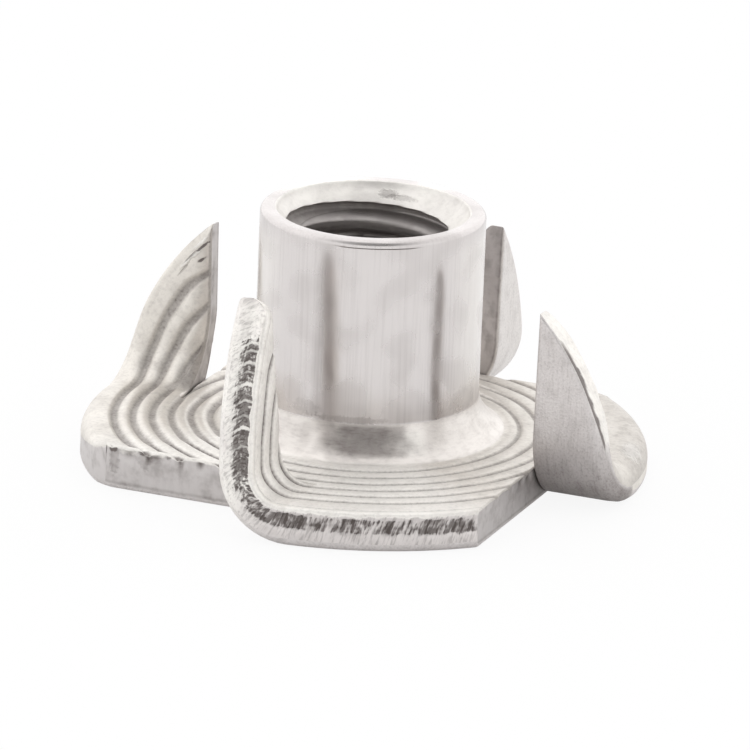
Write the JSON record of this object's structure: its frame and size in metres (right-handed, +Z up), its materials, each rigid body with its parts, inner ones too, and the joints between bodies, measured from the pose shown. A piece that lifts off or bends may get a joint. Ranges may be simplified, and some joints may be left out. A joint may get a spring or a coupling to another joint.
{
  "type": "tee nut",
  "caption": "Sheet-metal tee nut with a threaded barrel drawn up from a round flange, and prongs folded up from the flange's edge that bite into wood.",
  "frame": {"origin": "on the barrel's axis, at the underside of the flange", "axes": "+Z runs up the barrel, from the flange to the mouth; the straight cuts beside the prongs run along X and Y"},
  "size_m": [0.0194, 0.0194, 0.009],
  "materials": {
    "steel": "satin, lightly tumbled"
  },
  "bodies": {
    "root": {"tee_nut": "steel"}
  },
  "joints": []
}
